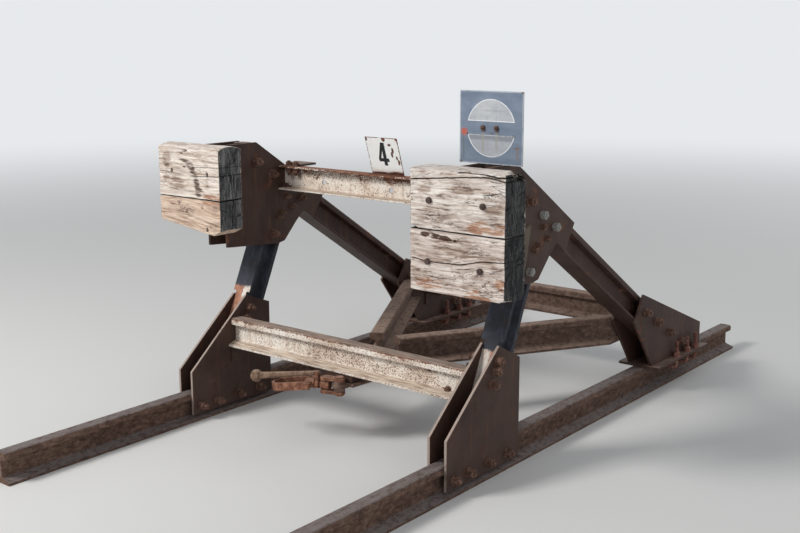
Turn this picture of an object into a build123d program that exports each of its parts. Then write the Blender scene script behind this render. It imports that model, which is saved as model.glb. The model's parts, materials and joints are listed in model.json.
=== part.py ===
from build123d import *
from math import cos, radians, sin, tan
import os

# Railway buffer stop built from old flat-bottom rail, plate and timber baulks.
# Millimetres, Z up. The working frame below has X = 0 midway between the two
# side frames, Y = 0 at the buffing faces with the track in front at -Y, and
# Z = 0 under the foot of the base rails. Pieces are saved with the origin
# moved back to the middle of the base rails' length.

# Track and rail section
frame_spacing = 1507.0
track_in_front = 1100.0
track_behind = 2750.0
rail_height = 138.0
rail_foot_width = 110.0
rail_foot_edge = 11.0
rail_foot_root = 27.0
rail_head_width = 72.0
rail_head_side = 30.0
rail_head_slope = 10.0
rail_web = 14.0
rail_rounding = 12.0

# Side frame: front post and rear strut, as seen from the side
post_datum_y = 388.0
post_datum_z = 800.0
post_lean = 24.2
post_wing_cut_z = 572.0
strut_datum_y = 683.0
strut_datum_z = 934.0
strut_fall = 32.8
strut_end_y = 267.0
strut_top_z = 1310.0

# Top gussets on the edges of the rail feet
plate_thickness = 12.0
gusset_front_z = 820.0
gusset_rear_y = 825.0
gusset_strut_y = 676.0
gusset_knee_y = 622.0
gusset_knee_z = 893.0
gusset_throat_y = 532.0
gusset_throat_z = 801.0
gusset_post_y = 484.0
gusset_post_z = 792.0

# Stiffening bar on each outer gusset
stiffener_front_y = 310.0
stiffener_foot_y = 398.0
stiffener_waist_y = 422.0
stiffener_waist_z = 922.0
stiffener_head_y = 450.0
stiffener_head_z = 1048.0
stiffener_slope_y = 380.0
stiffener_slope_z = 1030.0
stiffener_front_top_z = 1012.0

# Front foot plates beside the rail heads
toe_y = -95.0
toe_height = 247.0
toe_slope = 40.6
toe_peak_y = 270.0
foot_rear_y = 428.0
foot_rear_top_z = {"left": 500.0, "right": 478.0}
foot_plate_bottom_z = 32.0

# Rear foot plates and the sole plate on the base rail
rear_plate_front_y = 1535.0
rear_plate_below_strut = 20.0
rear_plate_toe_y = 1655.0
rear_plate_end_y = 2232.0
rear_plate_end_height = 120.0
sole_thickness = 12.0
sole_margin = 45.0
sole_front_y = 1640.0
sole_rear_y = 2250.0

# Timber buffer blocks
block_depth = 142.0
block_top_z = 1312.0
block_split_z = 1070.0
block_bottom_z = 816.0
block_outer_x = 1000.0
block_inner_x = {"left": 573.0, "right": 541.0}
block_edge = 5.0
block_crown = 16.0
worn_outer_z = 949.0
worn_low_x = 624.0
worn_low_z = 902.0
worn_inner_z = 928.0

# Angles that hold the blocks to the gussets
cleat_leg = 100.0
cleat_thickness = 12.0
cleat_end_gap = 14.0

# Upper crossbeam: rolled channel with its flanges to the front
channel_height = 120.0
channel_flange = 55.0
channel_web = 7.0
channel_flange_tip = 8.0
channel_flange_root = 11.0
channel_bottom_z = 1066.0
channel_back_y = 551.0
channel_hole = 25.0
channel_holes_xz = [(-420.0, 1115.0), (2.0, 1111.0)]
bracket_reach = 125.0
bracket_thickness = 10.0
bracket_tip_y = 530.0
bracket_root_y = 560.0
bracket_rear_y = 640.0
bracket_drop = 90.0

# Lower and rear crossbeams, rail with the head up
beam_foot_z = 324.0
lower_beam_y = 200.0
rear_beam_y = 1750.0
seat_leg = 80.0
seat_thickness = 10.0
seat_width = 90.0

# Diagonal braces and the plate at their apex
brace_foot_z = 286.0
brace_apex_x = 62.0
brace_apex_y = 512.0
brace_far_y = 1560.0
apex_plate_thickness = 15.0
apex_plate_rear_y = 640.0
apex_plate_rear_width = 300.0
apex_plate_front_y = 145.0
apex_plate_front_width = 200.0
packing_width = 180.0
packing_length = 100.0
tongue_width = 64.0

# Sign board on its upright, and the number plate on the upper beam
sign_width = 305.0
sign_height = 292.0
sign_thickness = 3.0
sign_bottom_z = 1313.0
upright_width = 60.0
upright_thickness = 8.0
upright_bottom_z = 1205.0
upright_top_z = 1560.0
number_width = 190.0
number_height = 186.0
number_thickness = 2.0
number_lean = 18.0
number_foot = 35.0
number_foot_y = 500.0
number_x = -4.0

# Screw coupling, laid out along its own axis from the tongue's pin
pin_x = 50.0
pin_y = 112.0
coupling_heading = 197.5
pin_diameter = 24.0
pin_head_diameter = 40.0
pin_head_thickness = 6.0
eye_clearance = 0.1
side_clearance = 1.0
boss_diameter = 50.0
link_gap = 50.0
link_thickness = 12.0
link_eye_diameter = 52.0
link_width = 44.0
link_length = 66.0
nut_diameter = 46.0
nut_length = 40.0
spindle_diameter = 26.0
spindle_start = 48.0
spindle_end = 168.0
collar_position = 106.0
collar_diameter = 42.0
collar_width = 16.0
outer_nut_position = 138.0
trunnion_diameter = 22.0
trunnion_shoulder = 32.0
trunnion_cap = 30.0
trunnion_cap_thickness = 8.0
bail_inner_width = 84.0
bail_thickness = 13.0
bail_height = 36.0
bail_leg = 140.0
bail_droop = 8.5
bail_end_rounding = 17.0
lever_pin_height = 50.0
lever_pin_diameter = 12.0
lever_length = 316.0
lever_droop = 8.5
lever_root_diameter = 22.0
lever_end_diameter = 32.0
lever_ball_diameter = 58.0
lever_eye_diameter = 24.0
lever_eye_width = 14.0
lug_thickness = 6.0

# Values that follow from those above
SIDES = {"left": -1, "right": 1}
frame_x = frame_spacing / 2
foot_half = rail_foot_width / 2
head_half = rail_head_width / 2
gusset_inside = foot_half
rail_top_z = rail_height
sole_top_z = rail_top_z + sole_thickness
origin_y = (track_behind - track_in_front) / 2
post_rise = tan(radians(post_lean))
strut_drop = tan(radians(strut_fall))
strut_depth_z = rail_height / cos(radians(strut_fall))
tongue_mid_z = brace_foot_z - apex_plate_thickness / 2
brace_end_x = frame_x - gusset_inside - plate_thickness


def post_face_y(z):
    """Y of the post's front face at height z."""
    return post_datum_y + (z - post_datum_z) * post_rise


def strut_foot_z(y):
    """Height of the strut's underside at y."""
    return strut_datum_z - (y - strut_datum_y) * strut_drop


def strut_head_z(y):
    """Height of the strut's top at y."""
    return strut_foot_z(y) + strut_depth_z


def strut_head_y(z):
    """Y where the strut's top is at height z."""
    return strut_datum_y + (strut_datum_z + strut_depth_z - z) / strut_drop


def save(name, *solids):
    """Write one node, with the origin at the middle of the base rails."""
    shape = solids[0] if len(solids) == 1 else Compound(children=list(solids))
    export_step(shape.moved(Location((0, -origin_y, 0))), f"parts/{name}.step")


def rail_section():
    """Flat-bottom rail, foot on the local X axis and head along local Y."""
    half = [
        (foot_half, 0),
        (foot_half, rail_foot_edge),
        (rail_web / 2, rail_foot_root),
        (rail_web / 2, rail_height - rail_head_side - rail_head_slope),
        (head_half, rail_height - rail_head_side),
        (head_half, rail_height),
    ]
    face = make_face(Polyline(*half, *[(-x, y) for x, y in reversed(half)], close=True))
    by_height = face.vertices().group_by(Axis.Y)
    rounded = by_height[-1] + by_height[2]
    return fillet(rounded, rail_rounding)


def rail(start, end, up):
    """A length of rail whose foot centre line runs from start to end."""
    along = Vector(*end) - Vector(*start)
    plane = Plane(origin=start, x_dir=Vector(*up).cross(along), z_dir=along)
    return extrude(plane * rail_section(), amount=along.length)


def trimmed(piece, point, away):
    """Cut off what lies on the side of the plane that away points to."""
    return split(piece, bisect_by=Plane(origin=point, z_dir=away), keep=Keep.BOTTOM)


def side_plate(points, x_from, x_to):
    """A plate in a side view outline, points in Y and Z."""
    outline = Polyline(*[(x_from, y, z) for y, z in points], close=True)
    return extrude(make_face(outline), amount=x_to - x_from, dir=(1, 0, 0))


def plate_pair(points, side, inside):
    """Two like plates, one on each side of a frame."""
    centre = side * frame_x
    return [
        side_plate(points, centre + inside, centre + inside + plate_thickness),
        side_plate(points, centre - inside - plate_thickness, centre - inside),
    ]


def box_between(low, high):
    """A box from its lowest to its highest corner."""
    size = [b - a for a, b in zip(low, high)]
    middle = [(a + b) / 2 for a, b in zip(low, high)]
    return Pos(*middle) * Box(*size)


def mirrored(piece, side):
    """The piece as drawn for the right frame, or its mirror image."""
    return piece if side > 0 else mirror(piece, about=Plane.YZ)


def track_rail(side):
    x = side * frame_x
    return rail((x, -track_in_front, 0), (x, track_behind, 0), (0, 0, 1))


def front_post(side):
    """Rail with its foot to the front, mitred under the strut.

    The foot is cut back to the head's width where it stands between the
    foot plates, down to the base rail's head.
    """
    x = side * frame_x
    up = (0, 1, -post_rise)
    post = rail((x, post_face_y(0), 0), (x, post_face_y(block_top_z), block_top_z), up)
    post = trimmed(post, (x, strut_datum_y, strut_datum_z), (0, strut_drop, 1))
    post = trimmed(post, (x, 0, rail_top_z), (0, 0, -1))
    for way in (-1, 1):
        edges = sorted([x + way * head_half, x + way * rail_foot_width])
        post -= box_between((edges[0], 0, 0), (edges[1], strut_datum_y, post_wing_cut_z))
    return post


def rear_strut(side):
    """Rail with its foot downwards, from the block to the sole plate."""
    x = side * frame_x
    front, rear = strut_end_y - rail_height, rear_plate_end_y
    up = (0, strut_drop, 1)
    strut = rail((x, front, strut_foot_z(front)), (x, rear, strut_foot_z(rear)), up)
    strut = trimmed(strut, (x, strut_end_y, 0), (0, -1, 0))
    strut = trimmed(strut, (x, 0, strut_top_z), (0, 0, 1))
    return trimmed(strut, (x, 0, sole_top_z), (0, 0, -1))


def top_gussets(side):
    """Plates on both sides of the joint between block, post and strut."""
    square = strut_drop * strut_depth_z / (1 + strut_drop ** 2)
    rear_low_y = gusset_rear_y - square
    points = [
        (block_depth, gusset_front_z),
        (gusset_post_y, gusset_post_z),
        (gusset_throat_y, gusset_throat_z),
        (gusset_knee_y, gusset_knee_z),
        (gusset_strut_y, strut_foot_z(gusset_strut_y)),
        (rear_low_y, strut_foot_z(rear_low_y)),
        (gusset_rear_y, strut_head_z(gusset_rear_y)),
        (strut_head_y(block_top_z), block_top_z),
        (block_depth, block_top_z),
    ]
    return plate_pair(points, side, gusset_inside)


def gusset_stiffener(side):
    """Flat bar on the outer face of the outer gusset, behind the cleat."""
    points = [
        (stiffener_front_y, gusset_front_z),
        (stiffener_foot_y, gusset_front_z),
        (stiffener_waist_y, stiffener_waist_z),
        (stiffener_head_y, stiffener_head_z),
        (stiffener_slope_y, stiffener_slope_z),
        (stiffener_front_y, stiffener_front_top_z),
    ]
    outside = frame_x + gusset_inside + plate_thickness
    return mirrored(side_plate(points, outside, outside + plate_thickness), side)


def front_foot_plates(name, side):
    """Plates from the base rail's head up both sides of the post."""
    points = [
        (toe_y, foot_plate_bottom_z),
        (foot_rear_y, foot_plate_bottom_z),
        (foot_rear_y, foot_rear_top_z[name]),
        (toe_peak_y, toe_height + (toe_peak_y - toe_y) * tan(radians(toe_slope))),
        (toe_y, toe_height),
    ]
    return plate_pair(points, side, head_half)


def rear_foot_plates(side):
    """Plates on the edges of the strut's foot, standing on the sole plate."""
    across = strut_depth_z + rear_plate_below_strut
    square = strut_drop * across / (1 + strut_drop ** 2)
    low_y = rear_plate_front_y - square
    points = [
        (rear_plate_front_y, strut_head_z(rear_plate_front_y)),
        (low_y, strut_foot_z(low_y) - rear_plate_below_strut),
        (rear_plate_toe_y, sole_top_z),
        (rear_plate_end_y, sole_top_z),
        (rear_plate_end_y, sole_top_z + rear_plate_end_height),
    ]
    return plate_pair(points, side, gusset_inside)


def sole_plate(side):
    half = gusset_inside + plate_thickness + sole_margin
    x = side * frame_x
    return box_between((x - half, sole_front_y, rail_top_z), (x + half, sole_rear_y, sole_top_z))


def baulk(name, z_from, z_to):
    """A timber baulk as drawn on its own side, edges taken off."""
    side = SIDES[name]
    xs = sorted([side * block_inner_x[name], side * block_outer_x])
    timber = box_between((xs[0], 0, z_from), (xs[1], block_depth, z_to))
    return chamfer(timber.edges().filter_by(Axis.X), block_edge)


def crowned_baulk(name):
    """The upper left baulk, whose top is worn to a crown."""
    side = SIDES[name]
    start = side * block_outer_x
    low, high = block_split_z, block_top_z - block_crown / 2
    outline = Polyline((0, high), (0, low), (block_depth, low), (block_depth, high))
    top = ThreePointArc((block_depth, high), (block_depth / 2, high + block_crown), (0, high))
    face = Plane(origin=(start, 0, 0), x_dir=(0, 1, 0), z_dir=(1, 0, 0)) * make_face(outline + top)
    return extrude(face, amount=block_outer_x - block_inner_x[name], dir=(1, 0, 0))


def worn_baulk():
    """The lower left baulk, with its underside rotted away to a slope."""
    points = [
        (-block_outer_x, block_split_z),
        (-block_outer_x, worn_outer_z),
        (-worn_low_x, worn_low_z),
        (-block_inner_x["left"], worn_inner_z),
        (-block_inner_x["left"], block_split_z),
    ]
    outline = Polyline(*[(x, 0, z) for x, z in points], close=True)
    return extrude(make_face(outline), amount=block_depth, dir=(0, 1, 0))


def angle_section(leg, thickness):
    """Equal angle with its heel at the local origin, legs along +X and +Y."""
    points = [(0, 0), (leg, 0), (leg, thickness), (thickness, thickness), (thickness, leg), (0, leg)]
    return make_face(Polyline(*points, close=True))


def block_cleats(name, side):
    """Upright angles between the blocks' backs and the gussets."""
    lowest = worn_outer_z if name == "left" else block_bottom_z
    low, high = lowest + cleat_end_gap, block_top_z - cleat_end_gap
    reach = gusset_inside + plate_thickness
    cleats = []
    for way in (-1, 1):
        heel = (side * frame_x + way * reach, block_depth, low)
        x_dir, y_dir = ((1, 0, 0), (0, 1, 0)) if way > 0 else ((0, 1, 0), (-1, 0, 0))
        plane = Plane(origin=heel, x_dir=x_dir, z_dir=Vector(*x_dir).cross(Vector(*y_dir)))
        cleats.append(extrude(plane * angle_section(cleat_leg, cleat_thickness), amount=high - low))
    return cleats


def upper_crossbeam():
    """Channel with tapered flanges, between the inner gussets."""
    reach = frame_x - gusset_inside - plate_thickness
    back, front = channel_back_y, channel_back_y - channel_flange
    web = back - channel_web
    low, high = channel_bottom_z, channel_bottom_z + channel_height
    points = [
        (back, low),
        (back, high),
        (front, high),
        (front, high - channel_flange_tip),
        (web, high - channel_flange_root),
        (web, low + channel_flange_root),
        (front, low + channel_flange_tip),
        (front, low),
    ]
    beam = side_plate(points, -reach, reach)
    for x, z in channel_holes_xz:
        beam -= Pos(x, back, z) * Rot(90, 0, 0) * Cylinder(channel_hole / 2, channel_flange * 2)
    return beam


def beam_bracket(side):
    """Angle on the channel's top flange, its other leg down the gusset."""
    reach = frame_x - gusset_inside - plate_thickness
    top = channel_bottom_z + channel_height
    tip = reach - bracket_reach
    points = [(reach, bracket_root_y), (tip, bracket_tip_y), (tip, bracket_rear_y), (reach, bracket_rear_y)]
    outline = Polyline(*[(x, y, top) for x, y in points], close=True)
    angle = extrude(make_face(outline), amount=bracket_thickness, dir=(0, 0, 1))
    angle += box_between(
        (reach - bracket_thickness, channel_back_y, top - bracket_drop),
        (reach, bracket_rear_y, top),
    )
    return mirrored(angle, side)


def crossbeam(y, reach):
    return rail((-reach, y, beam_foot_z), (reach, y, beam_foot_z), (0, 0, 1))


def beam_seats(y, reach):
    """A short angle under each end of a crossbeam."""
    seats = []
    for side in SIDES.values():
        heel = (reach, y + seat_width / 2, beam_foot_z)
        plane = Plane(origin=heel, x_dir=(-1, 0, 0), z_dir=(0, -1, 0))
        seat = extrude(plane * angle_section(seat_leg, seat_thickness), amount=seat_width)
        seats.append(mirrored(seat, side))
    return seats


def diagonal_brace(side):
    """Rail from the apex out to the inner rear foot plate."""
    run = Vector(brace_end_x - brace_apex_x, brace_far_y - brace_apex_y)
    past = run * (1 + rail_foot_width / run.length)
    start = (brace_apex_x, brace_apex_y, brace_foot_z)
    end = (brace_apex_x + past.X, brace_apex_y + past.Y, brace_foot_z)
    brace = rail(start, end, (0, 0, 1))
    return mirrored(trimmed(brace, (brace_end_x, 0, 0), (1, 0, 0)), side)


def apex_plate():
    """Plate under the brace ends, with a tongue in front for the coupling."""
    front, rear = apex_plate_front_width / 2, apex_plate_rear_width / 2
    low = brace_foot_z - apex_plate_thickness
    points = [
        (-front, apex_plate_front_y),
        (front, apex_plate_front_y),
        (rear, apex_plate_rear_y),
        (-rear, apex_plate_rear_y),
    ]
    plate = extrude(Plane.XY.offset(low) * make_face(Polyline(*points, close=True)), apex_plate_thickness)
    tongue_reach = apex_plate_front_y - pin_y
    tongue = Pos(pin_x, pin_y + tongue_reach / 2, tongue_mid_z) * Box(
        tongue_width, tongue_reach, apex_plate_thickness
    )
    nose = Pos(pin_x, pin_y, tongue_mid_z) * Cylinder(tongue_width / 2, apex_plate_thickness)
    boss_height = link_gap - 2 * side_clearance
    boss = Pos(pin_x, pin_y, tongue_mid_z) * Cylinder(boss_diameter / 2, boss_height)
    hole = Pos(pin_x, pin_y, tongue_mid_z) * Cylinder(pin_diameter / 2 + eye_clearance, boss_height * 2)
    return plate + tongue + nose + boss - hole


def apex_packing():
    """Block between the apex plate and the lower beam's foot."""
    return box_between(
        (-packing_width / 2, lower_beam_y - packing_length / 2, brace_foot_z),
        (packing_width / 2, lower_beam_y + packing_length / 2, beam_foot_z),
    )


def sign_board():
    low = (frame_x - sign_width / 2, strut_end_y - upright_thickness - sign_thickness, sign_bottom_z)
    high = (frame_x + sign_width / 2, strut_end_y - upright_thickness, sign_bottom_z + sign_height)
    return box_between(low, high)


def sign_upright():
    half = upright_width / 2
    return box_between(
        (frame_x - half, strut_end_y - upright_thickness, upright_bottom_z),
        (frame_x + half, strut_end_y, upright_top_z),
    )


def number_plate():
    """Bent sheet, its foot on the channel's top flange."""
    t, lean = number_thickness, radians(number_lean)
    base = channel_bottom_z + channel_height
    bend_y = number_foot_y + number_foot
    rise_y, rise_z = -sin(lean), cos(lean)
    face_y, face_z = bend_y - t * cos(lean), base - t * sin(lean)
    step = (base + t - face_z) / rise_z
    points = [
        (number_foot_y, base),
        (bend_y, base),
        (bend_y + number_height * rise_y, base + number_height * rise_z),
        (face_y + number_height * rise_y, face_z + number_height * rise_z),
        (face_y + step * rise_y, base + t),
        (number_foot_y, base + t),
    ]
    return side_plate(points, number_x - number_width / 2, number_x + number_width / 2)


# Screw coupling. Local X runs along the coupling, local Y to its front side,
# and Z up, from the middle of the tongue at the pin.
heading = radians(coupling_heading)
coupling_plane = Plane(
    origin=(pin_x, pin_y, tongue_mid_z),
    x_dir=(cos(heading), sin(heading), 0),
    z_dir=(0, 0, 1),
)
link_low = link_gap / 2
link_high = link_low + link_thickness


def upright_rod(x, diameter, z_from, z_to):
    return Pos(x, 0, (z_from + z_to) / 2) * Cylinder(diameter / 2, z_to - z_from)


def long_rod(diameter, x_from, x_to):
    return Pos((x_from + x_to) / 2, 0, 0) * Rot(0, 90, 0) * Cylinder(diameter / 2, x_to - x_from)


def cross_rod(x, z, diameter, y_from, y_to):
    return Pos(x, (y_from + y_to) / 2, z) * Rot(90, 0, 0) * Cylinder(diameter / 2, y_to - y_from)


def coupling_pin():
    """Headed pin through the tongue, with a washer and collar below."""
    top = link_high + side_clearance / 2
    pin = upright_rod(0, pin_diameter, -top - pin_head_thickness, top)
    head = upright_rod(0, pin_head_diameter, top, top + pin_head_thickness)
    foot = upright_rod(0, pin_head_diameter, -top - pin_head_thickness, -top)
    return pin + head + foot


def coupling_links():
    """Two flat bars from the pin to the inner nut's trunnions."""
    bars = []
    hole = pin_diameter / 2 + eye_clearance
    for way in (-1, 1):
        z = way * (link_low + link_thickness / 2)
        bar = Pos(link_length / 2, 0, z) * Box(link_length, link_width, link_thickness)
        for x in (0, link_length):
            bar += Pos(x, 0, z) * Cylinder(link_eye_diameter / 2, link_thickness)
        for x in (0, link_length):
            bar -= Pos(x, 0, z) * Cylinder(hole, link_thickness * 2)
        bars.append(bar)
    return bars


def inner_nut():
    """Nut between the link bars, with upright trunnions in their eyes."""
    half = nut_length / 2
    nut = long_rod(nut_diameter, link_length - half, link_length + half)
    nut += upright_rod(link_length, pin_diameter, -link_high - 2, link_high + 2)
    return nut - long_rod(spindle_diameter + 2 * eye_clearance, 0, spindle_end)


def outer_nut():
    """Nut with level trunnions that carry the bail between square caps."""
    half = nut_length / 2
    x = outer_nut_position
    shoulder = bail_inner_width / 2 - side_clearance / 2
    cap_from = bail_inner_width / 2 + bail_thickness + side_clearance / 2
    cap_to = cap_from + trunnion_cap_thickness
    nut = long_rod(nut_diameter, x - half, x + half)
    nut += cross_rod(x, 0, trunnion_shoulder, -shoulder, shoulder)
    nut += cross_rod(x, 0, trunnion_diameter, -cap_from, cap_from)
    for way in (-1, 1):
        middle = way * (cap_from + cap_to) / 2
        nut += Pos(x, middle, 0) * Box(trunnion_cap, trunnion_cap_thickness, trunnion_cap)
    return nut - long_rod(spindle_diameter + 2 * eye_clearance, 0, spindle_end + half)


def spindle():
    """Screw spindle with its collar and the fork that holds the lever."""
    rod = long_rod(spindle_diameter, spindle_start, spindle_end)
    rod += long_rod(collar_diameter, collar_position - collar_width / 2, collar_position + collar_width / 2)
    outside = lever_eye_width / 2 + side_clearance / 2
    top = lever_pin_height
    for way in (-1, 1):
        middle = way * (outside + lug_thickness / 2)
        lug = Pos(collar_position, middle, top / 2) * Box(collar_width, lug_thickness, top)
        ear = Pos(collar_position, middle, top) * Rot(90, 0, 0) * Cylinder(collar_width / 2, lug_thickness)
        rod += lug + ear
    pin_half = outside + lug_thickness
    return rod + cross_rod(collar_position, top, lever_pin_diameter, -pin_half, pin_half)


def lever():
    """Tommy bar lever with a ball end, hinged on the spindle's collar."""
    z = lever_pin_height
    start = collar_position
    end = start + lever_length
    eye = cross_rod(start, z, lever_eye_diameter, -lever_eye_width / 2, lever_eye_width / 2)
    arm_from = start + lever_pin_diameter / 2
    arm_mid = (arm_from + end) / 2
    arm = Pos(arm_mid, 0, z) * Rot(0, 90, 0) * Cone(
        lever_root_diameter / 2, lever_end_diameter / 2, end - arm_from
    )
    ball = Pos(end, 0, z) * Sphere(lever_ball_diameter / 2)
    hole = cross_rod(start, z, lever_pin_diameter + 2 * eye_clearance, -lever_eye_width, lever_eye_width)
    neck = box_between(
        (start - lever_eye_diameter, lever_eye_width / 2, z - lever_eye_diameter),
        (start + collar_width, lever_eye_diameter, z + lever_eye_diameter),
    )
    whole = eye + arm + ball - neck - mirror(neck, about=Plane.XZ) - hole
    return Pos(start, 0, z) * Rot(0, lever_droop, 0) * Pos(-start, 0, -z) * whole


def bail():
    """Flat U-shaped shackle on the outer nut's trunnions."""
    inner = bail_inner_width / 2
    outer = inner + bail_thickness
    x = outer_nut_position
    tail = bail_height / 2
    bow_x = bail_leg
    body = box_between((-tail, -outer, -tail), (bow_x, outer, tail))
    body += Pos(bow_x, 0, 0) * Cylinder(outer, bail_height)
    body -= box_between((-tail * 2, -inner, -tail * 2), (bow_x, inner, tail * 2))
    body -= Pos(bow_x, 0, 0) * Cylinder(inner, bail_height * 2)
    ends = body.edges().filter_by(Axis.Y).group_by(Axis.X)[0]
    body = fillet(ends, bail_end_rounding)
    body -= cross_rod(0, 0, trunnion_diameter + 2 * eye_clearance, -outer * 2, outer * 2)
    return Pos(x, 0, 0) * Rot(0, bail_droop, 0) * body


def main():
    for name, side in SIDES.items():
        save(f"track_rail_{name}", track_rail(side))
        save(f"front_post_{name}", front_post(side))
        save(f"rear_strut_{name}", rear_strut(side))
        save(f"top_gussets_{name}", *top_gussets(side))
        save(f"gusset_stiffener_{name}", gusset_stiffener(side))
        save(f"front_foot_plates_{name}", *front_foot_plates(name, side))
        save(f"rear_foot_plates_{name}", *rear_foot_plates(side))
        save(f"rear_sole_plate_{name}", sole_plate(side))
        save(f"block_cleats_{name}", *block_cleats(name, side))
        save(f"upper_beam_bracket_{name}", beam_bracket(side))
        save(f"diagonal_brace_{name}", diagonal_brace(side))
    save("upper_buffer_block_left", crowned_baulk("left"))
    save("lower_buffer_block_left", worn_baulk())
    save("upper_buffer_block_right", baulk("right", block_split_z, block_top_z))
    save("lower_buffer_block_right", baulk("right", block_bottom_z, block_split_z))
    save("upper_crossbeam", upper_crossbeam())
    front_reach = frame_x - head_half - plate_thickness
    rear_reach = frame_x - gusset_inside - plate_thickness
    save("lower_crossbeam", crossbeam(lower_beam_y, front_reach))
    save("lower_beam_seats", *beam_seats(lower_beam_y, front_reach))
    save("rear_crossbeam", crossbeam(rear_beam_y, rear_reach))
    save("rear_beam_seats", *beam_seats(rear_beam_y, rear_reach))
    save("brace_apex_plate", apex_plate())
    save("apex_packing", apex_packing())
    save("sign_board", sign_board())
    save("sign_upright", sign_upright())
    save("number_plate", number_plate())
    save("coupling_pin", coupling_plane * coupling_pin())
    save("coupling_links", *[coupling_plane * bar for bar in coupling_links()])
    save("coupling_inner_nut", coupling_plane * inner_nut())
    save("coupling_spindle", coupling_plane * spindle())
    save("coupling_outer_nut", coupling_plane * outer_nut())
    save("coupling_lever", coupling_plane * lever())
    save("coupling_bail", coupling_plane * bail())


main()
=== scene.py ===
import json
from math import cos, pi, radians, sin

import bmesh
import bpy
import numpy as np
from mathutils import Matrix, Vector, noise


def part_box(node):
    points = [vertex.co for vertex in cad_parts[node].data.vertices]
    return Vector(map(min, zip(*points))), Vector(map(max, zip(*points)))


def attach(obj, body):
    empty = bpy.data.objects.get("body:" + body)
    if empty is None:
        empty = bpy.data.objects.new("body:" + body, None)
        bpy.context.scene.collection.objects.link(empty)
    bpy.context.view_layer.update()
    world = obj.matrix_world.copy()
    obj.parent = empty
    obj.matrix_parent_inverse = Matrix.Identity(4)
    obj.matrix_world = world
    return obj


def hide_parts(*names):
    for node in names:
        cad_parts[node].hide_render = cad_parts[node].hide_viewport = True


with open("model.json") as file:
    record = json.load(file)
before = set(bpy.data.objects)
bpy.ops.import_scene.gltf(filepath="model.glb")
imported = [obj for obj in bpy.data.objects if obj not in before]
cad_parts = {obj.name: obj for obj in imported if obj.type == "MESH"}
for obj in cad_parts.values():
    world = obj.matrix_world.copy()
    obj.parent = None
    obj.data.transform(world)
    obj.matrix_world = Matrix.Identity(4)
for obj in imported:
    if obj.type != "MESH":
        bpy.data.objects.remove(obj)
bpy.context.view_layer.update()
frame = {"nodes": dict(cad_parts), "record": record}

# A railway buffer stop. Metres, Z up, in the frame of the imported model.
MM = 0.001
SIDES = {"left": -1, "right": 1}

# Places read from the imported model
gusset_low, gusset_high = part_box("top_gussets_right")
sign_low, sign_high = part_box("sign_board")
plate_low, plate_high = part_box("number_plate")
beam_low, beam_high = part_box("upper_crossbeam")
lower_beam_low, lower_beam_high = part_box("lower_crossbeam")
face_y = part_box("upper_buffer_block_right")[0].y
cleat_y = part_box("block_cleats_right")[0].y
sole_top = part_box("rear_sole_plate_right")[1].z
frame_x = (gusset_low.x + gusset_high.x) / 2
gusset_out = gusset_high.x - frame_x
foot_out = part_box("front_foot_plates_right")[1].x - frame_x


def spot(x, back, up):
    """A point from its place behind the buffing face and its height, in millimetres."""
    return (x, face_y + back * MM, up * MM)


class Nodes:
    """The shader nodes of a material or of the world."""

    def __init__(self, owner):
        owner.use_nodes = True
        self.tree = owner.node_tree

    def add(self, kind, **settings):
        node = self.tree.nodes.new("ShaderNode" + kind)
        for key, value in settings.items():
            setattr(node, key, value)
        return node

    def put(self, socket, value):
        """Wire a socket to an input, or set the input to a plain value."""
        if isinstance(value, bpy.types.NodeSocket):
            self.tree.links.new(value, socket)
        elif isinstance(value, (tuple, list)) and len(value) == 3 and socket.type == "RGBA":
            socket.default_value = (*value, 1.0)
        else:
            socket.default_value = value

    def wire(self, kind, inputs, output, **settings):
        """Add a node, fill its inputs and return one of its outputs."""
        node = self.add(kind, **settings)
        for socket, value in inputs.items():
            self.put(node.inputs[socket], value)
        return node.outputs[output]


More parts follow.
